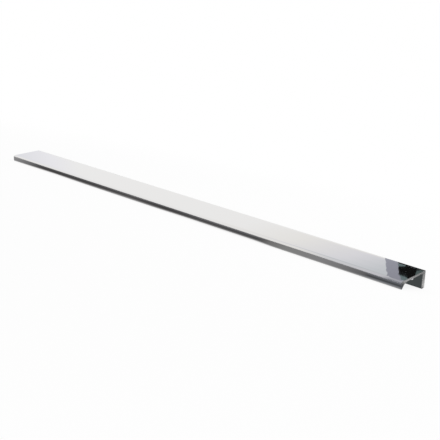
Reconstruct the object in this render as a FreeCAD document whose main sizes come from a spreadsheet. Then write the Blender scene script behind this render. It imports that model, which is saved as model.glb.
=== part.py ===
import FreeCAD, Part
import math
import os
import Sketcher
from FreeCAD import Vector

# Finger pull profile for the top edge of a handleless door or drawer front.
# It is one length of extruded aluminium, sawn square, polished and plated. A flat plate covers
# the edge of the front, a short lip turned down at its front is what the fingers pull, and the
# thicker flange at its back stands behind the panel and is screwed to it.
# X runs along the profile with 0 at mid-length, Y runs from the lip to the flange and Z is up.
# The section is drawn level, with the face of the lip at Y 0 and the top of the plate at Z 0.
# The profile is then tipped forward to lie on a floor as it does unheld: on the nose of the lip
# and the inner edge of the flange.

# Driving sizes in millimetres, apart from the count and the angle.
SIZES = [
    ("profile_length", 597.0, "sawn length, a 600 front less its 3 mm gap"),
    ("profile_depth", 40.0, "face of the lip to back of the flange"),
    ("plate_thickness", 2.1, "flat plate on top"),
    ("flange_height", 17.0, "top of the plate to the foot of the flange"),
    ("flange_thickness", 4.5, "screwed flange"),
    ("lip_height", 7.5, "top of the plate to the lowest point of the lip"),
    ("nose_radius", 1.5, "full round on the lip's lower edge"),
    ("finger_radius", 10.0, "hollow that the fingertips pull on"),
    ("front_corner_radius", 2.2, "round between the plate and the face of the lip"),
    ("back_corner_radius", 0.5, "round between the plate and the back of the flange"),
    ("inner_corner_radius", 0.8, "fillet between the plate and the flange"),
    ("flange_edge_radius", 0.4, "both edges at the foot of the flange"),
    ("hole_count", 4, "screw holes along the flange"),
    ("hole_end_distance", 11.0, "end of the profile to the first hole"),
    ("hole_drop", 9.8, "top of the plate to the centres of the holes"),
    ("hole_diameter", 3.4, "clearance for a 3 mm countersunk screw"),
    ("countersink_diameter", 6.6, "seat of the screw head, on the back of the flange"),
    ("countersink_angle", 90.0, "included angle of the seat"),
]

NODE = "finger_pull_profile"


def make_sheet(doc):
    """The spreadsheet of driving sizes, one row each: name, value and what it is."""
    sheet = doc.addObject("Spreadsheet::Sheet", "Sizes")
    for row, (name, value, meaning) in enumerate(SIZES, start=1):
        sheet.set(f"A{row}", name)
        sheet.set(f"B{row}", str(value))
        sheet.set(f"C{row}", meaning)
        sheet.setAlias(f"B{row}", name)
    doc.recompute()
    return sheet


def origin_feature(body, role):
    """One of the body's own origin planes or axes."""
    for feature in body.Origin.OriginFeatures:
        if feature.Role == role:
            return feature
    raise RuntimeError(f"the body has no {role}")


def arc(centre, radius, start, end):
    """An arc drawn anticlockwise between two angles in degrees."""
    circle = Part.Circle(centre, Vector(0, 0, 1), radius)
    return Part.ArcOfCircle(circle, math.radians(start), math.radians(end))


def line(start, end):
    """A straight piece between two points of the section."""
    return Part.LineSegment(Vector(*start, 0), Vector(*end, 0))


def draw_section(body, sheet):
    """The profile's section as a closed, fully constrained sketch of lines and tangent arcs."""
    depth = sheet.profile_depth
    plate = sheet.plate_thickness
    height = sheet.flange_height
    flange_face = depth - sheet.flange_thickness
    lip = sheet.lip_height
    nose = sheet.nose_radius
    hollow = sheet.finger_radius
    front = sheet.front_corner_radius
    back = sheet.back_corner_radius
    inner = sheet.inner_corner_radius
    edge = sheet.flange_edge_radius

    # The hollow touches the nose from outside and the underside of the plate from below.
    nose_centre = Vector(nose, nose - lip, 0)
    hollow_level = -plate - hollow
    fall = nose_centre.y - hollow_level
    reach = math.sqrt((nose + hollow) ** 2 - fall ** 2)
    hollow_centre = Vector(nose + reach, hollow_level, 0)
    slope = math.degrees(math.atan2(fall, reach))

    sketch = body.newObject("Sketcher::SketchObject", "Section")
    sketch.AttachmentSupport = [(origin_feature(body, "YZ_Plane"), "")]
    sketch.MapMode = "FlatFace"

    lip_face = sketch.addGeometry(line((0, -front), (0, nose - lip)))
    lip_nose = sketch.addGeometry(arc(nose_centre, nose, 180, 360 - slope))
    finger_hollow = sketch.addGeometry(arc(hollow_centre, hollow, 90, 180 - slope))
    underside = sketch.addGeometry(line((hollow_centre.x, -plate), (flange_face - inner, -plate)))
    fillet = sketch.addGeometry(arc(Vector(flange_face - inner, -plate - inner, 0), inner, 0, 90))
    flange_front = sketch.addGeometry(line((flange_face, -plate - inner), (flange_face, edge - height)))
    inner_edge = sketch.addGeometry(arc(Vector(flange_face + edge, edge - height, 0), edge, 180, 270))
    foot = sketch.addGeometry(line((flange_face + edge, -height), (depth - edge, -height)))
    outer_edge = sketch.addGeometry(arc(Vector(depth - edge, edge - height, 0), edge, 270, 360))
    flange_back = sketch.addGeometry(line((depth, edge - height), (depth, -back)))
    back_corner = sketch.addGeometry(arc(Vector(depth - back, -back, 0), back, 0, 90))
    top = sketch.addGeometry(line((depth - back, 0), (front, 0)))
    front_corner = sketch.addGeometry(arc(Vector(front, -front, 0), front, 90, 180))

    # Each join is tangent and shares an end. Hollow arcs are run through backwards.
    START, END, CENTRE = 1, 2, 3
    outline = [
        (lip_face, START, END), (lip_nose, START, END), (finger_hollow, END, START),
        (underside, START, END), (fillet, END, START), (flange_front, START, END),
        (inner_edge, START, END), (foot, START, END), (outer_edge, START, END),
        (flange_back, START, END), (back_corner, START, END), (top, START, END),
        (front_corner, START, END),
    ]
    for (piece, _, leave), (following, enter, _) in zip(outline, outline[1:] + outline[:1]):
        sketch.addConstraint(Sketcher.Constraint("Tangent", piece, leave, following, enter))
    for level in (underside, foot, top):
        sketch.addConstraint(Sketcher.Constraint("Horizontal", level))
    for upright in (lip_face, flange_front, flange_back):
        sketch.addConstraint(Sketcher.Constraint("Vertical", upright))
    sketch.addConstraint(Sketcher.Constraint("PointOnObject", lip_face, START, -2))
    sketch.addConstraint(Sketcher.Constraint("PointOnObject", top, START, -1))

    def bind(constraint, expression):
        """Add a dimension to the sketch and tie it to the sheet."""
        index = sketch.addConstraint(constraint)
        sketch.setExpression(f"Constraints[{index}]", f"({expression}) * 1 mm")

    for piece, radius, name in (
        (lip_nose, nose, "nose_radius"),
        (finger_hollow, hollow, "finger_radius"),
        (fillet, inner, "inner_corner_radius"),
        (inner_edge, edge, "flange_edge_radius"),
        (outer_edge, edge, "flange_edge_radius"),
        (back_corner, back, "back_corner_radius"),
        (front_corner, front, "front_corner_radius"),
    ):
        bind(Sketcher.Constraint("Radius", piece, radius), f"Sizes.{name}")
    bind(Sketcher.Constraint("DistanceX", lip_face, START, flange_back, START, depth),
         "Sizes.profile_depth")
    bind(Sketcher.Constraint("DistanceX", flange_front, START, flange_back, START, depth - flange_face),
         "Sizes.flange_thickness")
    bind(Sketcher.Constraint("DistanceY", underside, START, top, START, plate),
         "Sizes.plate_thickness")
    bind(Sketcher.Constraint("DistanceY", foot, START, top, START, height),
         "Sizes.flange_height")
    bind(Sketcher.Constraint("DistanceY", lip_nose, CENTRE, top, START, lip - nose),
         "Sizes.lip_height - Sizes.nose_radius")
    return sketch


def drill_flange(doc, body, sheet):
    """A row of countersunk screw holes, drilled from the back through the flange alone.

    The drill runs on into the channel by one thickness of the flange and stops short of the lip.
    """
    sketch = body.newObject("Sketcher::SketchObject", "FirstHole")
    sketch.AttachmentSupport = [(origin_feature(body, "XZ_Plane"), "")]
    sketch.MapMode = "FlatFace"
    sketch.setExpression("AttachmentOffset.Base.z", "-Sizes.profile_depth * 1 mm")
    first = sheet.hole_end_distance - sheet.profile_length / 2
    radius = sheet.hole_diameter / 2
    centre = Vector(first, -sheet.hole_drop, 0)
    hole = sketch.addGeometry(Part.Circle(centre, Vector(0, 0, 1), radius))
    dimensions = (
        (Sketcher.Constraint("Radius", hole, radius), "Sizes.hole_diameter / 2"),
        (Sketcher.Constraint("DistanceX", -1, 1, hole, 3, first),
         "Sizes.hole_end_distance - Sizes.profile_length / 2"),
        (Sketcher.Constraint("DistanceY", -1, 1, hole, 3, -sheet.hole_drop), "-Sizes.hole_drop"),
    )
    for constraint, expression in dimensions:
        index = sketch.addConstraint(constraint)
        sketch.setExpression(f"Constraints[{index}]", f"({expression}) * 1 mm")
    doc.recompute()

    drilled = body.newObject("PartDesign::Hole", "ScrewHole")
    drilled.Profile = sketch
    doc.recompute()
    drilled.Reversed = True
    drilled.DepthType = "Dimension"
    drilled.DrillPoint = "Flat"
    drilled.HoleCutType = "Countersink"
    drilled.HoleCutCustomValues = True
    drilled.setExpression("Depth", "2 * Sizes.flange_thickness * 1 mm")
    drilled.setExpression("Diameter", "Sizes.hole_diameter * 1 mm")
    drilled.setExpression("HoleCutDiameter", "Sizes.countersink_diameter * 1 mm")
    drilled.setExpression("HoleCutCountersinkAngle", "Sizes.countersink_angle * 1 deg")
    doc.recompute()

    row = body.newObject("PartDesign::LinearPattern", "ScrewHoles")
    row.Originals = [drilled]
    row.Direction = (origin_feature(body, "X_Axis"), [""])
    row.setExpression("Length", "(Sizes.profile_length - 2 * Sizes.hole_end_distance) * 1 mm")
    row.setExpression("Occurrences", "Sizes.hole_count")
    body.Tip = row
    doc.recompute()


def tip_onto_floor(body):
    """Tip the level profile until its nose and the flange's inner edge both touch the floor."""
    nose = "Sizes.nose_radius"
    edge = "Sizes.flange_edge_radius"
    nose_depth = f"(Sizes.lip_height - {nose})"
    edge_depth = f"(Sizes.flange_height - {edge})"
    rise = f"({edge_depth} - {nose_depth})"
    run = f"(Sizes.profile_depth - Sizes.flange_thickness + {edge} - {nose})"
    angle = f"(atan2({rise}; {run}) - asin(({nose} - {edge}) / hypot({rise}; {run})))"
    foremost = f"(Sizes.front_corner_radius * (cos({angle}) + sin({angle}) - 1))"
    rearmost = f"((Sizes.profile_depth - {edge}) * cos({angle}) + {edge_depth} * sin({angle}) + {edge})"
    lift = f"({nose_depth} * cos({angle}) + {nose} * (1 - sin({angle})))"
    body.Placement = FreeCAD.Placement(Vector(0, 0, 0), FreeCAD.Rotation(Vector(1, 0, 0), 1))
    body.setExpression("Placement.Rotation.Angle", angle)
    body.setExpression("Placement.Base.y", f"-({foremost} + {rearmost}) / 2 * 1 mm")
    body.setExpression("Placement.Base.z", f"{lift} * 1 mm")


def make_profile(doc, sheet):
    """The whole profile: the section, extruded both ways from mid-length, and its holes."""
    body = doc.addObject("PartDesign::Body", "FingerPullProfile")
    body.Label = NODE
    section = draw_section(body, sheet)
    extrusion = body.newObject("PartDesign::Pad", "Extrusion")
    extrusion.Profile = section
    extrusion.Midplane = True
    extrusion.setExpression("Length", "Sizes.profile_length * 1 mm")
    doc.recompute()
    solid_volume = extrusion.Shape.Volume
    drill_flange(doc, body, sheet)
    tip_onto_floor(body)
    doc.recompute()
    drilled_away = solid_volume - body.Shape.Volume
    flange_bore = math.pi * (sheet.hole_diameter / 2) ** 2 * sheet.flange_thickness
    if drilled_away < sheet.hole_count * flange_bore:
        raise RuntimeError("the screw holes miss the flange")
    return body


def check(doc, bodies):
    """Stop if any object failed, or if a sub-part isn't one valid solid."""
    for thing in doc.Objects:
        if "Invalid" in thing.State or "Error" in thing.State:
            raise RuntimeError(f"{thing.Label} failed: {thing.State}")
    for body in bodies:
        if body.Shape.isNull() or not body.Shape.isValid() or len(body.Shape.Solids) != 1:
            raise RuntimeError(f"{body.Label} isn't one valid solid")


doc = FreeCAD.newDocument("FingerPull")
sheet = make_sheet(doc)
profile = make_profile(doc, sheet)
check(doc, [profile])
os.makedirs("parts", exist_ok=True)
profile.Shape.exportStep(f"parts/{profile.Label}.step")
box = profile.Shape.BoundBox
print(f"{profile.Label}: {profile.Shape.Volume / 1000:.2f} cm3, tipped "
      f"{math.degrees(profile.Placement.Rotation.Angle):.2f} degrees")
print(f"X {box.XMin:.3f} {box.XMax:.3f}  Y {box.YMin:.3f} {box.YMax:.3f}  Z {box.ZMin:.3f} {box.ZMax:.3f}")
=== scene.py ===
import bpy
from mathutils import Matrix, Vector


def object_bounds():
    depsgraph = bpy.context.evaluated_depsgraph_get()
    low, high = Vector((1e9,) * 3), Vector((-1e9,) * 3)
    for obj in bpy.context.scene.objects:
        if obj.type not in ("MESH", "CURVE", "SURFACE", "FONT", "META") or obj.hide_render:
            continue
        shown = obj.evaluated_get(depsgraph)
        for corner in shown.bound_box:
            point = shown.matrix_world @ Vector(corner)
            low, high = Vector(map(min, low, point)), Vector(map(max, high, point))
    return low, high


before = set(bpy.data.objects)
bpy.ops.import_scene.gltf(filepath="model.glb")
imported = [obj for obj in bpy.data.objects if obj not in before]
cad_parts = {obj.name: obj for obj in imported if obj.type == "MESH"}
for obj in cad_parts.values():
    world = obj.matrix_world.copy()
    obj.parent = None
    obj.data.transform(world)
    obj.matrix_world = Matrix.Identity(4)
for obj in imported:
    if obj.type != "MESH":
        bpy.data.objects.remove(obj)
CAD_BOX = [list(corner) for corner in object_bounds()]

import math

import bmesh
import bpy
from bpy.props import FloatProperty, FloatVectorProperty, PointerProperty
from mathutils import Matrix, Quaternion, Vector

bl_info = {
    "name": "Handleless finger pull profile",
    "version": (1, 0, 0),
    "blender": (4, 5, 0),
    "location": "3D View > Sidebar > Finger Pull",
    "description": "Chrome finish, studio and camera for a finger pull profile",
    "category": "Object",
}

PROFILE_NODE = "finger_pull_profile"
MM = 0.001
HALF_LENGTH = CAD_BOX[1][0]
LIP_FACE = CAD_BOX[0][1]

# The profile lies tipped forward on its lip. The tip and the plate's front
# corner give a frame in which the plate is level, and there its flat part is
# this far back, and this wide each way.
TIP = math.radians(15.375)
LEVEL_ORIGIN = (0, -21.744 * MM, 6.888 * MM)
FLAT_MIDDLE = 20.85 * MM
FLAT_HALF = 18.65 * MM

# The finish goes from buffed to sawn as the X part of the normal goes from
# the first of these to the second.
SAWN_FACING = (0.7, 0.95)

# The marks of the die and of buffing are long and narrow, so their patterns
# are scaled down along X by these.
WAVE_SCALE_X = 0.02
LINE_SCALE_X = 0.015
HAZE_SCALE_X = 0.15

# The haze sets in and is full at these values of its pattern.
HAZE_RANGE = (0.4, 0.75)

# The rings of the wave texture are this far apart at a scale of 1, and the
# blade's centre is off to one side by this share of its radius.
RING_PERIOD = 2 * math.pi / 20
BLADE_ASIDE = 0.3

# The mix node's sockets for values and for colours share their names, so
# they are told apart by their places.
VALUE_A, VALUE_B = 2, 3
COLOUR_A, COLOUR_B, COLOUR_RESULT = 6, 7, 2

# The floor's shadow fades out between these distances from the middle.
SHADOW_FADE = (0.35, 1.2)

# Where the room stands that the chrome reflects, in metres.
CEILING_MIDDLE = (0.3, 0)
VAULT_ENDS = (-2.2, 1.2)
END_CARD_X = 3.4
END_CARD_CORNERS = ((-1.5, 0), (1.5, 1.6))
FAR_CARD_X = -3.5
FAR_CARD_CORNERS = ((1.0, 0.6), (2.1, 2.4))
CIRCLE_STEPS = 96
ARC_STEPS = 48

# The cards on the floor: how high they lie, how far they reach in front and
# to the sides, behind the ends and behind the lip, and where the light strip
# under the lip starts, ends and passes the left end.
CARD_LIFT = 0.1 * MM
TABLE_REACH = 0.15
TABLE_BACK = 0.25
UNDER_BACK = 0.1
STRIP_FRONT = LIP_FACE + 0.3 * MM
STRIP_BACK = LIP_FACE + 5 * MM
STRIP_LEFT = -HALF_LENGTH - 13 * MM

# The camera's level line of sight at the right end, and how far off the
# point on it is that marks on the floor are measured from.
SIGHT = Vector((-0.8705, 0.4921, 0))
FAR_OFF = 10.0

# The plate sends that line of sight on from its right end, from this place
# and this way. Some cards stand there, square to it.
RIGHT_END = Vector((0.2905, -0.0023, 0.0122))
TOWARD_CARDS = Vector((-0.4788, 0.6737, 0.5629))

# The outlines of those cards as the right end shows them, in mm across and
# up, and how far the last three are behind the black flag, in metres.
BLACK_FLAG = ((-16.8, -12.3), (-2.4, -12.6), (4, -16), (9.5, -24), (85, -24),
              (80, -17), (31, -15), (29.5, -8), (28.8, 1.2), (25, 8.6),
              (25, 35), (4.6, 35), (4.1, 16.7), (1.9, 13.5), (-4.4, 10.5),
              (-12.5, 7.4), (-16.8, 5.6))
BLACK_STAND = ((57, -260), (140, -260), (85, -24), (-16.8, -24))
TEAL_CARD = ((-16.8, -22.5), (52, -22.5), (52, 34), (0, 34), (-6, 25),
             (-11, 21.8), (-13, 19), (-13.4, 16.3), (-14.2, 13.7),
             (-15, 8.5), (-16.5, 4.6))
LILAC_CARD = ((-47.2, -36), (-23, -100), (26, -260), (62, -260), (-12, -24),
              (-10, 34), (-62, 230), (-128, 230), (-84, 100), (-46, 20),
              (-44.8, 2), (-47.2, -8))
STAND_BACK = 0.03
TEAL_BACK = 0.01
LILAC_BACK = 0.02

SENSOR_WIDTH = 36.0
NEAREST_SEEN = 0.01


def linear(hex_colour):
    """The linear colour of an sRGB hex value, with an alpha of 1."""
    parts = [int(hex_colour[i:i + 2], 16) / 255 for i in (1, 3, 5)]
    return tuple(p / 12.92 if p <= 0.04045 else ((p + 0.055) / 1.055) ** 2.4
                 for p in parts) + (1.0,)


WHITE = linear("#FFFFFF")
BLACK = linear("#000000")


def colour(name, description, hex_colour):
    """A colour a user may change, given by its sRGB hex value."""
    return FloatVectorProperty(name=name, description=description,
                               subtype="COLOR", size=4, min=0, max=1,
                               default=linear(hex_colour))


def length(name, description, default):
    """A length a user may change, in metres."""
    return FloatProperty(name=name, description=description, unit="LENGTH",
                         default=default)


class FingerPullMetal(bpy.types.PropertyGroup):
    """Sizes and colours of the chrome plate on the extruded profile."""
    chrome: colour("Chrome", "Reflection of the polished plating", "#E4E3E2")
    polish: FloatProperty(
        name="Polish", description="Roughness of the buffed faces",
        subtype="FACTOR", min=0, max=1, default=0.012)
    haze: FloatProperty(
        name="Haze", description="Roughness that buffing adds in places",
        subtype="FACTOR", min=0, max=1, default=0.02)
    haze_width: length("Haze width", "Width of the hazy places", 14 * MM)
    sawn: FloatProperty(
        name="Sawn ends", description="Roughness of the sawn and plated ends",
        subtype="FACTOR", min=0, max=1, default=0.22)
    wave_width: length("Wave width", "Width of the faint waves that the "
                       "extrusion die leaves along the length", 9 * MM)
    wave_height: length("Wave height", "Height of those waves", 0.012 * MM)
    line_width: length("Buffing line width", "Spacing of the buffing lines",
                       1.2 * MM)
    line_height: length("Buffing line height", "Depth of the buffing lines",
                        0.0005 * MM)
    buffed_edge: length("Buffed edge", "Width along the plate's edges that "
                        "buffing rounds off", 2.8 * MM)
    buffed_depth: length("Buffed depth", "How far the edges are rounded "
                         "down", 0.058 * MM)
    saw_radius: length("Saw radius", "Radius of the saw blade that cut the "
                       "ends", 150 * MM)
    saw_pitch: length("Saw mark pitch", "Spacing of the saw marks", 0.7 * MM)
    saw_depth: length("Saw mark depth", "Depth of the saw marks", 0.009 * MM)


class FingerPullStudio(bpy.types.PropertyGroup):
    """Sizes and colours of the floor, the light and the reflected cards."""
    floor_size: length("Floor size", "Side of the square floor", 60.0)
    floor_colour: colour("Floor", "Matt white floor", "#F2F2F2")
    floor_white: FloatProperty(
        name="Floor white", description="How much of the floor is plain "
        "white to the camera; the rest keeps the shadow",
        subtype="FACTOR", min=0, max=1, default=0.87)
    sky: FloatProperty(name="Sky light", description="Strength of the even "
                       "light from all round", min=0, default=0.7)
    lamp_power: FloatProperty(name="Lamp power", description="Power of the "
                              "soft lamp", unit="POWER", default=26.0)
    lamp_size: length("Lamp size", "Side of the square soft lamp", 1.6)
    lamp_place: FloatVectorProperty(
        name="Lamp place", description="Centre of the soft lamp",
        subtype="TRANSLATION", unit="LENGTH", default=(0.8, 1.0, 2.2))
    ceiling: colour("Ceiling", "Grey middle of the white-edged ceiling",
                    "#C6CACE")
    ceiling_height: length("Ceiling height", "Height over the floor", 1.2)
    ceiling_radius: length("Ceiling radius", "Radius of the round ceiling",
                           2.2)
    vault: colour("Vault", "Grey vault over the profile and the camera",
                  "#D0D2D5")
    vault_foot: colour("Vault foot", "Dark foot of the vault on the "
                       "camera's side", "#5C5F64")
    vault_stripe: colour("Vault stripe", "Lilac-grey stripe across the "
                         "vault", "#9A9CA6")
    vault_radius: length("Vault radius", "Radius of the vault", 1.1)
    vault_start: FloatProperty(
        name="Vault start", description="How far up the vault starts, over "
        "the level behind the profile", unit="ROTATION",
        default=math.radians(46))
    wall: colour("Wall", "Foot of the low wall behind", "#5A5C60")
    wall_radius: length("Wall radius", "Radius of the low wall", 1.6)
    wall_height: length("Wall height", "Height of the low wall", 0.5)
    table: colour("Table", "Dark table top that the lip looks down on",
                  "#7B7B7C")
    table_far: colour("Table front", "Table top further in front",
                      "#B6B7BA")
    table_line: colour("Table line", "Darkest line of it, by the lip's "
                       "middle", "#676768")
    table_near: colour("Table near", "Light table top under the lip's nose",
                       "#F4F4F4")
    # Painted shade: this dark grey stands for the shadow under the profile, which the
    # chrome's inner faces and hollow show.
    shade_under_profile: colour("Table under", "Table top under the profile",
                        "#494E4F")
    table_side: colour("Table side", "Table top beside the sawn ends",
                       "#606266")
    black: colour("Black flag", "Black flag over the right end", "#141414")
    teal: colour("Blue-grey card", "Card round the black flag", "#6A7A7C")
    teal_side: colour("Blue-grey side", "Far side of that card", "#53605F")
    lilac: colour("Lilac card", "Card beside the black flag", "#999AA6")
    card_range: length("Card range", "Distance of the cards from the right "
                       "end", 1.5)


class FingerPullCamera(bpy.types.PropertyGroup):
    """Place, aim and lens for the photograph's viewing angle."""
    place: FloatVectorProperty(
        name="Place", description="Where the camera stands",
        subtype="TRANSLATION", unit="LENGTH",
        default=(0.6740, -0.7000, 0.1272))
    target: FloatVectorProperty(
        name="Target", description="What the middle of the view shows",
        subtype="TRANSLATION", unit="LENGTH",
        default=(0.0340, 0.0285, 0.0011))
    roll: FloatProperty(name="Roll", description="Turn about the line of "
                        "sight", unit="ROTATION",
                        default=math.radians(11.51))
    lens: FloatProperty(name="Lens", description="Focal length",
                        unit="CAMERA", default=71.97)


def add_node(tree, kind, inputs=None, **settings):
    """Add a node, give it its settings, and set or link its inputs."""
    node = tree.nodes.new(kind)
    for name, value in settings.items():
        setattr(node, name, value)
    for name, value in (inputs or {}).items():
        if isinstance(value, bpy.types.NodeSocket):
            tree.links.new(value, node.inputs[name])
        else:
            node.inputs[name].default_value = value
    return node


def blank_material(name):
    """A material with an empty node tree."""
    material = bpy.data.materials.new(name)
    material.use_nodes = True
    material.node_tree.nodes.clear()
    return material


def streaks(tree, place, scale_x, width, detail):
    """Noise of one width across the profile, drawn out along its length."""
    drawn_out = add_node(tree, "ShaderNodeMapping", {
        0: place.outputs["Object"], "Scale": (scale_x, 1, 1)})
    return add_node(tree, "ShaderNodeTexNoise", {
        "Vector": drawn_out.outputs[0], "Scale": 1 / width,
        "Detail": detail}).outputs["Fac"]


def polished_chrome(metal):
    """Decorative chrome over buffed extruded aluminium.

    The eye sees a bright mirror of nearly neutral grey. The die's faint
    waves run along the length and bend what it reflects, buffing leaves a
    thin haze, and the sawn ends are satin because plating doesn't fill the
    saw marks.
    """
    material = blank_material("buffed_extruded_aluminium_chrome_plated")
    tree = material.node_tree
    place = add_node(tree, "ShaderNodeTexCoord")
    facing = add_node(tree, "ShaderNodeSeparateXYZ",
                      {0: place.outputs["Normal"]})
    sideways = add_node(tree, "ShaderNodeMath", {0: facing.outputs["X"]},
                        operation="ABSOLUTE")
    end = add_node(tree, "ShaderNodeMapRange", {
        "Value": sideways.outputs[0], "From Min": SAWN_FACING[0],
        "From Max": SAWN_FACING[1]})

    # Buffing rounds the plate off towards its front and back edges, which
    # squeezes a dark or bright line of the room into each edge.
    level_place = add_node(tree, "ShaderNodeMapping", {
        0: place.outputs["Object"], "Location": LEVEL_ORIGIN,
        "Rotation": (TIP, 0, 0)}, vector_type="TEXTURE")
    across = add_node(tree, "ShaderNodeSeparateXYZ",
                      {0: level_place.outputs[0]})
    off_middle = add_node(tree, "ShaderNodeMath", {
        0: across.outputs["Y"], 1: FLAT_MIDDLE}, operation="SUBTRACT")
    off_middle = add_node(tree, "ShaderNodeMath", {
        0: off_middle.outputs[0]}, operation="ABSOLUTE")
    near_edge = add_node(tree, "ShaderNodeMapRange", {
        "Value": off_middle.outputs[0],
        "From Min": FLAT_HALF - metal.buffed_edge, "From Max": FLAT_HALF})
    dip = add_node(tree, "ShaderNodeMath", {
        0: near_edge.outputs[0], 1: 2.0}, operation="POWER")
    edge_bump = add_node(tree, "ShaderNodeBump", {
        "Height": dip.outputs[0], "Strength": 1.0,
        "Distance": metal.buffed_depth}, invert=True)

    # The die's waves run along the length, fifty times as long as wide.
    waves = streaks(tree, place, WAVE_SCALE_X, metal.wave_width, 1.0)
    wave_bump = add_node(tree, "ShaderNodeBump", {
        "Height": waves, "Strength": 1.0, "Distance": metal.wave_height,
        "Normal": edge_bump.outputs[0]})

    # Buffing lines are really some 0.05 mm apart, too fine to show here, so
    # they are drawn over a millimetre apart.
    lines = streaks(tree, place, LINE_SCALE_X, metal.line_width, 2.0)
    line_bump = add_node(tree, "ShaderNodeBump", {
        "Height": lines, "Strength": 1.0, "Distance": metal.line_height,
        "Normal": wave_bump.outputs[0]})

    # Saw marks are arcs of the blade's rim across each end.
    saw_place = add_node(tree, "ShaderNodeMapping", {
        0: place.outputs["Object"],
        "Location": (0, BLADE_ASIDE * metal.saw_radius,
                     metal.saw_radius)})
    marks = add_node(tree, "ShaderNodeTexWave", {
        "Vector": saw_place.outputs[0],
        "Scale": RING_PERIOD / metal.saw_pitch,
        "Distortion": 1.2, "Detail": 2.0, "Detail Scale": 0.6},
        wave_type="RINGS", rings_direction="X", wave_profile="SIN")
    saw_depth = add_node(tree, "ShaderNodeMath", {
        0: marks.outputs["Fac"], 1: end.outputs[0]}, operation="MULTIPLY")
    saw_bump = add_node(tree, "ShaderNodeBump", {
        "Height": saw_depth.outputs[0], "Strength": 0.5,
        "Distance": metal.saw_depth, "Normal": line_bump.outputs[0]})

    # Buffing haze comes and goes over a few centimetres of the length.
    haze = streaks(tree, place, HAZE_SCALE_X, metal.haze_width, 4.0)
    buffed = add_node(tree, "ShaderNodeMapRange", {
        "Value": haze, "From Min": HAZE_RANGE[0], "From Max": HAZE_RANGE[1],
        "To Min": metal.polish, "To Max": metal.polish + metal.haze})
    rough = add_node(tree, "ShaderNodeMix", {
        "Factor": end.outputs[0], VALUE_A: buffed.outputs[0],
        VALUE_B: metal.sawn})

    shader = add_node(tree, "ShaderNodeBsdfPrincipled", {
        "Base Color": metal.chrome, "Metallic": 1.0,
        "Roughness": rough.outputs[0], "Normal": saw_bump.outputs[0]})
    add_node(tree, "ShaderNodeOutputMaterial", {0: shader.outputs[0]})
    return material


def seen_white(tree):
    """How far a ray is the camera's, or one that metal or glass sends on."""
    path = add_node(tree, "ShaderNodeLightPath")
    mirrored = add_node(tree, "ShaderNodeMath", {
        0: path.outputs["Is Glossy Ray"],
        1: path.outputs["Is Transmission Ray"]}, operation="ADD")
    return add_node(tree, "ShaderNodeMath", {
        0: path.outputs["Is Camera Ray"], 1: mirrored.outputs[0]},
        operation="ADD", use_clamp=True).outputs[0]


def matt_floor(studio):
    """Matt painted board: plain white, with part of the shadow left."""
    material = blank_material("matt_white_painted_board")
    tree = material.node_tree
    place = add_node(tree, "ShaderNodeTexCoord")
    away = add_node(tree, "ShaderNodeVectorMath", {
        0: place.outputs["Object"]}, operation="LENGTH")
    plain = add_node(tree, "ShaderNodeMapRange", {
        "Value": away.outputs["Value"], "From Min": SHADOW_FADE[0],
        "From Max": SHADOW_FADE[1], "To Min": studio.floor_white,
        "To Max": 1.0}, interpolation_type="SMOOTHSTEP")
    share = add_node(tree, "ShaderNodeMath", {
        0: seen_white(tree), 1: plain.outputs[0]}, operation="MULTIPLY")
    paint = add_node(tree, "ShaderNodeBsdfDiffuse", {
        "Color": studio.floor_colour})
    white = add_node(tree, "ShaderNodeEmission", {
        "Color": WHITE, "Strength": 1.0})
    mix = add_node(tree, "ShaderNodeMixShader", {
        0: share.outputs[0], 1: paint.outputs[0], 2: white.outputs[0]})
    add_node(tree, "ShaderNodeOutputMaterial", {0: mix.outputs[0]})
    return material


def ramp(measure, blend, stops, start=0.0, unit=1.0):
    """A ramp of tints for card_material.

    measure is an axis, or a point to measure from, and blend is how the
    ramp joins the tints before it. Each stop is a distance from the start,
    in units, and a tint: a linear colour or an sRGB hex value.
    """
    return measure, blend, [
        (start + distance * unit,
         linear(tint) if isinstance(tint, str) else tint)
        for distance, tint in stops]


def card_material(name, tint, *ramps):
    """A lit card of one tint, on which ramps of tints blend in turn."""
    material = blank_material(name)
    tree = material.node_tree
    place = add_node(tree, "ShaderNodeTexCoord")
    parts = add_node(tree, "ShaderNodeSeparateXYZ",
                     {0: place.outputs["Object"]})
    for measure, blend, stops in ramps:
        if isinstance(measure, str):
            distance = parts.outputs[measure]
        else:
            distance = add_node(tree, "ShaderNodeVectorMath", {
                0: place.outputs["Object"], 1: measure},
                operation="DISTANCE").outputs["Value"]
        low, high = stops[0][0], stops[-1][0]
        along = add_node(tree, "ShaderNodeMapRange", {
            "Value": distance, "From Min": low, "From Max": high})
        tints = add_node(tree, "ShaderNodeValToRGB", {0: along.outputs[0]})
        elements = tints.color_ramp.elements
        while len(elements) < len(stops):
            elements.new(1.0)
        for element, (stop, stop_tint) in zip(elements, stops):
            element.position = (stop - low) / (high - low)
            element.color = stop_tint
        tint = add_node(tree, "ShaderNodeMix", {
            "Factor": 1.0, COLOUR_A: tint, COLOUR_B: tints.outputs[0]},
            data_type="RGBA", blend_type=blend).outputs[COLOUR_RESULT]
    light = add_node(tree, "ShaderNodeEmission", {
        "Color": tint, "Strength": 1.0})
    add_node(tree, "ShaderNodeOutputMaterial", {0: light.outputs[0]})
    return material


def stage_object(name, shape, material, mirror_only=True):
    """Make a stage object of a bmesh, as a rule one only mirrors show."""
    mesh = bpy.data.meshes.new(name)
    shape.to_mesh(mesh)
    shape.free()
    mesh.materials.append(material)
    made = bpy.data.objects.new(name, mesh)
    bpy.context.scene.collection.objects.link(made)
    if mirror_only:
        made.visible_camera = False
        made.visible_diffuse = False
        made.visible_shadow = False


def aim(thing, place, turn):
    """Put a lamp or a camera in its place, turned by a quaternion."""
    thing.matrix_world = (
        Matrix.Translation(place) @ turn.to_matrix().to_4x4())


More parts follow.
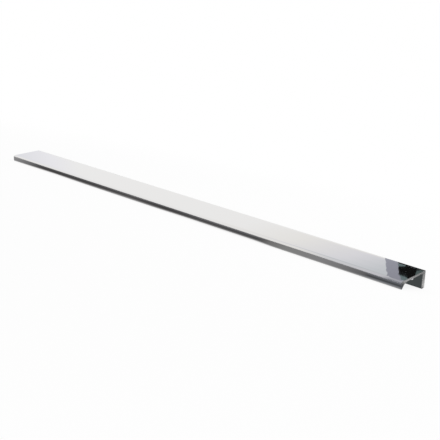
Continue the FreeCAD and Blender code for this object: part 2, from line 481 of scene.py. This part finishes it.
def flat_shape(corners):
    """One face through the given corners."""
    shape = bmesh.new()
    bmesh.ops.contextual_create(
        shape, geom=[shape.verts.new(corner) for corner in corners])
    return shape


def box_corners(low, high):
    """The four corners of a rectangle between two opposite ones."""
    return [low, (high[0], low[1]), high, (low[0], high[1])]


def floor_card(low, high):
    """A rectangle just over the floor, between two corners in X and Y."""
    return flat_shape([(x, y, CARD_LIFT) for x, y in box_corners(low, high)])


def upright_card(x, low, high):
    """A rectangle square to X, between two corners in Y and Z."""
    return flat_shape([(x, y, z) for y, z in box_corners(low, high)])


def right_end_card(studio, back, corners):
    """A card that the right end shows, some way behind the black flag."""
    across = TOWARD_CARDS.cross(Vector((0, 0, 1))).normalized()
    up = across.cross(TOWARD_CARDS)
    distance = studio.card_range + back
    centre = RIGHT_END + TOWARD_CARDS * distance
    scale = MM * distance / studio.card_range
    return flat_shape([centre + (across * u + up * v) * scale
                       for u, v in corners])


def swept_shape(ends, axis, angle):
    """The sheet that a straight edge sweeps out round an axis."""
    shape = bmesh.new()
    edge = shape.edges.new([shape.verts.new(end) for end in ends])
    bmesh.ops.spin(shape, geom=[*edge.verts, edge], cent=(0, 0, 0),
                   axis=axis, angle=angle, steps=ARC_STEPS,
                   use_duplicate=False)
    return shape


def vault_shape(studio):
    """A barrel vault along the profile, down to the floor in front."""
    radius, start = studio.vault_radius, studio.vault_start
    y, z = radius * math.cos(start), radius * math.sin(start)
    return swept_shape([(x, y, z) for x in VAULT_ENDS], (1, 0, 0),
                       math.pi - start)


def low_wall_shape(studio):
    """An upright wall, half round behind the profile."""
    x = -studio.wall_radius
    return swept_shape([(x, 0, 0), (x, 0, studio.wall_height)], (0, 0, 1),
                       -math.pi)


def ceiling_shape(studio):
    """A round flat ceiling."""
    shape = bmesh.new()
    bmesh.ops.create_circle(shape, cap_ends=True, segments=CIRCLE_STEPS,
                            radius=studio.ceiling_radius)
    bmesh.ops.translate(shape, verts=shape.verts,
                        vec=(*CEILING_MIDDLE, studio.ceiling_height))
    return shape


def lip_table(studio):
    """The table top before the lip: grey lines along it, and soft patches."""
    return card_material(
        "dark_grey_table_top", WHITE,
        ramp("Y", "MULTIPLY", (
            (-15, studio.table_far), (-8, "#8A8B8E"), (-5, "#93959A"),
            (-4.2, "#87898D"), (-3.2, studio.table_line),
            (-2.2, studio.table), (-0.7, studio.table_far)),
            start=LIP_FACE, unit=MM),
        ramp("X", "MULTIPLY", (
            (-0.7, "#A29F9E"), (-0.42, "#A8A5A4"), (-0.22, "#BCB9B8"),
            (-0.04, "#9E9B9A"), (0.15, "#B8B6B5"), (0.8, "#B4B4B4"),
            (0.93, "#B8BBC0")), unit=HALF_LENGTH),
        ramp("X", "LIGHTEN", (
            (-1.03, "#9A9A9C"), (-0.9, "#767678"), (-0.76, BLACK),
            (0.4, BLACK), (0.48, "#7E7D7D"), (0.55, "#8E8E8E"),
            (0.69, "#8E8E90"), (0.78, "#828284"), (0.86, "#6A6A6C"),
            (0.9, BLACK)), unit=HALF_LENGTH))


def nose_table(studio):
    """The light strip under the lip's nose."""
    return card_material(
        "light_grey_table_top", WHITE, ramp("X", "MULTIPLY", (
            (-0.98, "#A8A8A8"), (-0.85, "#C8C8C8"),
            (-0.7, studio.table_near), (-0.5, "#B4B4B4"),
            (-0.08, "#B4B4B4"), (0.08, studio.table_near),
            (0.42, studio.table_near), (0.5, "#B0B0B0"),
            (0.92, "#B0B0B0"), (0.99, "#A4A4A4")), unit=HALF_LENGTH))


def right_table(studio):
    """The table top beside the right sawn end, darker away from it.

    The flange's end shows what lies along the line of sight, so the dark
    line there is ruled square to that line, from a far point on it.
    """
    far_point = Vector((HALF_LENGTH, 0, 0)) - SIGHT * FAR_OFF
    return card_material(
        "grey_table_top", WHITE,
        ramp("X", "MULTIPLY", (
            (0, WHITE), (13, "#DADADA"), (24, "#B2B2B2"), (45, "#8E8E8E"),
            (60, studio.table_side)), start=HALF_LENGTH, unit=MM),
        ramp("Y", "MULTIPLY", (
            (12, studio.table_side), (22, WHITE)), unit=MM),
        ramp(far_point, "MULTIPLY", (
            (15.8, WHITE), (16.4, "#383838"), (18.6, "#484848"),
            (20.2, "#B4B4B4"), (21.6, WHITE)),
            start=FAR_OFF, unit=SIGHT.y * MM))


def left_table(studio):
    """The table top beside the left sawn end, darker away from it."""
    return card_material(
        "grey_table_top", WHITE, ramp("X", "MULTIPLY", (
            (-60, studio.table_side), (-45, "#8E8E8E"), (-24, "#B2B2B2"),
            (-13, "#DADADA")), start=-HALF_LENGTH, unit=MM))


class FINGERPULL_OT_profile(bpy.types.Operator):
    """Give the profile its chrome plate"""
    bl_idname = "fingerpull.profile"
    bl_label = "Chrome the Profile"

    def execute(self, context):
        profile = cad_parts[PROFILE_NODE]
        if not profile.material_slots:
            raise RuntimeError("the profile has no material slot")
        chrome = polished_chrome(context.scene.finger_pull_metal)
        for slot in profile.material_slots:
            slot.material = chrome
        return {"FINISHED"}


class FINGERPULL_OT_stage(bpy.types.Operator):
    """Make the floor, the cards and the light"""
    bl_idname = "fingerpull.stage"
    bl_label = "Build the Studio"

    def execute(self, context):
        studio = context.scene.finger_pull_studio
        self.make_floor(studio)
        self.make_surround(studio)
        self.make_table(studio)
        self.make_right_end_cards(studio)
        self.make_lamp(context, studio)
        self.make_world(context, studio)
        context.scene.view_settings.view_transform = "Standard"
        return {"FINISHED"}

    def make_floor(self, studio):
        """The white floor, which alone shows to the camera."""
        shape = bmesh.new()
        bmesh.ops.create_grid(shape, x_segments=1, y_segments=1,
                              size=studio.floor_size / 2)
        stage_object("studio_floor", shape, matt_floor(studio),
                     mirror_only=False)

    def make_surround(self, studio):
        """The grey room: ceiling, low wall, vault and cards at its ends."""
        ceiling_centre = (*CEILING_MIDDLE, studio.ceiling_height)
        stage_object("studio_ceiling", ceiling_shape(studio), card_material(
            "grey_painted_ceiling", WHITE, ramp(ceiling_centre, "MULTIPLY", (
                (0.7, studio.ceiling), (0.8, "#D3D7DC"), (0.85, "#EAEAEF"),
                (0.92, "#F9F8F6"), (1.0, WHITE)),
                unit=studio.ceiling_radius)))
        stage_object("studio_low_wall", low_wall_shape(studio), card_material(
            "grey_cloth_wall", WHITE, ramp("Z", "MULTIPLY", (
                (0.0, studio.wall), (1.0, "#CDCED1")),
                unit=studio.wall_height)))

        # The plate's rounded front edge shows the vault's stripe at the right
        # end. Overhead the stripe is lightened, so that it stays faint in
        # the flat of the plate, as it is seen from in front or above.
        stripe, faint = studio.vault_stripe, "#B8B9C0"
        stage_object("studio_vault", vault_shape(studio), card_material(
            "grey_cloth_vault", WHITE,
            ramp("X", "MULTIPLY", (
                (-0.95, WHITE), (-0.6, "#F9F8F6"), (-0.5, "#E2E3E6"),
                (-0.345, "#D3D3DA"), (-0.32, stripe), (-0.24, stripe),
                (-0.18, studio.vault))),
            ramp("Y", "LIGHTEN", (
                (-0.75, BLACK), (-0.5, faint), (0.42, faint), (0.5, BLACK),
                (0.68, BLACK), (0.73, studio.vault))),
            ramp("Z", "MULTIPLY", (
                (0.08, studio.vault_foot), (0.3, WHITE)))))
        for side in (-1, 1):
            stage_object(
                "studio_end_card_%d" % (side + 1),
                upright_card(side * END_CARD_X, *END_CARD_CORNERS),
                card_material("grey_end_card", WHITE, ramp(
                    "Z", "MULTIPLY", ((0.45, "#9EA1A5"), (0.95, "#ECEDEE")))))
        stage_object(
            "studio_far_card", upright_card(FAR_CARD_X, *FAR_CARD_CORNERS),
            card_material("blue_white_far_card", WHITE, ramp(
                "Y", "MULTIPLY", ((1.72, "#F1F2F8"), (1.92, "#FAFAFF"),
                                  (2.09, WHITE)))))

    def make_table(self, studio):
        """Dark cards on the floor, which only the chrome shows."""
        left, right = -HALF_LENGTH, HALF_LENGTH
        # The card under the profile is painted shade: its dark grey stands for the shadow
        # under the profile, in place of the white floor that the chrome would show there.
        under = card_material("painted_shade_under_profile", studio.shade_under_profile)
        for name, low, high, material in (
                ("front", (STRIP_LEFT, -TABLE_REACH), (right, STRIP_FRONT),
                 lip_table(studio)),
                ("nose", (STRIP_LEFT, STRIP_FRONT), (right, STRIP_BACK),
                 nose_table(studio)),
                ("under", (left, STRIP_BACK), (right, UNDER_BACK), under),
                ("beside", (right, -TABLE_REACH),
                 (right + TABLE_REACH, TABLE_BACK), right_table(studio)),
                ("left", (left - TABLE_REACH, -TABLE_REACH),
                 (STRIP_LEFT, TABLE_BACK), left_table(studio))):
            stage_object("studio_table_" + name, floor_card(low, high),
                         material)

    def make_right_end_cards(self, studio):
        """The black flag that the plate's right end shows, and its frame."""
        black = card_material("black_velvet_flag", studio.black)
        teal = card_material("blue_grey_card", WHITE, ramp("X", "MULTIPLY", (
            (-0.43, studio.teal), (-0.4, studio.teal_side))))
        lilac = card_material("lilac_grey_card", WHITE, ramp(
            "Z", "MULTIPLY", ((0.82, "#A6A8B4"), (0.88, studio.lilac),
                              (0.96, studio.lilac), (1.06, "#B4B5BE"))))
        for name, back, corners, material in (
                ("studio_black_flag", 0.0, BLACK_FLAG, black),
                ("studio_black_stand", STAND_BACK, BLACK_STAND, black),
                ("studio_teal_card", TEAL_BACK, TEAL_CARD, teal),
                ("studio_lilac_card", LILAC_BACK, LILAC_CARD, lilac)):
            stage_object(name, right_end_card(studio, back, corners), material)

    def make_lamp(self, context, studio):
        """One soft lamp, which the chrome doesn't show."""
        lamp = bpy.data.lights.new("studio_soft_lamp", "AREA")
        lamp.shape = "SQUARE"
        lamp.size = studio.lamp_size
        lamp.energy = studio.lamp_power
        made = bpy.data.objects.new("studio_soft_lamp", lamp)
        context.scene.collection.objects.link(made)
        made.visible_glossy = False
        place = Vector(studio.lamp_place)
        aim(made, place, (-place).to_track_quat("-Z", "Y"))

    def make_world(self, context, studio):
        """Even light from all round, seen as plain white."""
        world = bpy.data.worlds.new("studio_world")
        context.scene.world = world
        world.use_nodes = True
        tree = world.node_tree
        tree.nodes.clear()
        level = add_node(tree, "ShaderNodeMapRange", {
            "Value": seen_white(tree), "To Min": studio.sky, "To Max": 1.0})
        light = add_node(tree, "ShaderNodeBackground", {
            "Color": WHITE, "Strength": level.outputs[0]})
        add_node(tree, "ShaderNodeOutputWorld", {0: light.outputs[0]})


class FINGERPULL_OT_camera(bpy.types.Operator):
    """Place the camera at the photograph's viewing angle"""
    bl_idname = "fingerpull.camera"
    bl_label = "Place the Camera"

    def execute(self, context):
        view = context.scene.finger_pull_camera
        lens = bpy.data.cameras.new("photo_camera")
        lens.lens = view.lens
        lens.sensor_width = SENSOR_WIDTH
        lens.sensor_fit = "HORIZONTAL"
        lens.clip_start = NEAREST_SEEN
        camera = bpy.data.objects.new("photo_camera", lens)
        context.scene.collection.objects.link(camera)
        place, target = Vector(view.place), Vector(view.target)
        turn = (target - place).to_track_quat("-Z", "Y")
        aim(camera, place, turn @ Quaternion((0, 0, 1), view.roll))
        context.scene.camera = camera
        return {"FINISHED"}


OPERATORS = (FINGERPULL_OT_profile, FINGERPULL_OT_stage,
             FINGERPULL_OT_camera)
GROUPS = {"finger_pull_metal": FingerPullMetal,
          "finger_pull_studio": FingerPullStudio,
          "finger_pull_camera": FingerPullCamera}


class FINGERPULL_PT_sidebar(bpy.types.Panel):
    """Finish, studio and camera of the finger pull profile"""
    bl_idname = "FINGERPULL_PT_sidebar"
    bl_label = "Finger Pull Profile"
    bl_space_type = "VIEW_3D"
    bl_region_type = "UI"
    bl_category = "Finger Pull"

    def draw(self, context):
        for (pointer, group), operator in zip(GROUPS.items(), OPERATORS):
            box = self.layout.box()
            values = getattr(context.scene, pointer)
            for name in group.__annotations__:
                box.prop(values, name)
            box.operator(operator.bl_idname)


def register():
    """Register the classes and give the scene its groups of properties."""
    for made in (*GROUPS.values(), *OPERATORS, FINGERPULL_PT_sidebar):
        bpy.utils.register_class(made)
    for pointer, group in GROUPS.items():
        setattr(bpy.types.Scene, pointer, PointerProperty(type=group))


def unregister():
    """Take away what register added."""
    for pointer in GROUPS:
        delattr(bpy.types.Scene, pointer)
    for made in (FINGERPULL_PT_sidebar, *OPERATORS, *GROUPS.values()):
        bpy.utils.unregister_class(made)


def main():
    """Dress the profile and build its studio."""
    register()
    bpy.ops.fingerpull.profile()
    bpy.ops.fingerpull.stage()
    bpy.ops.fingerpull.camera()


if __name__ == "__main__":
    main()
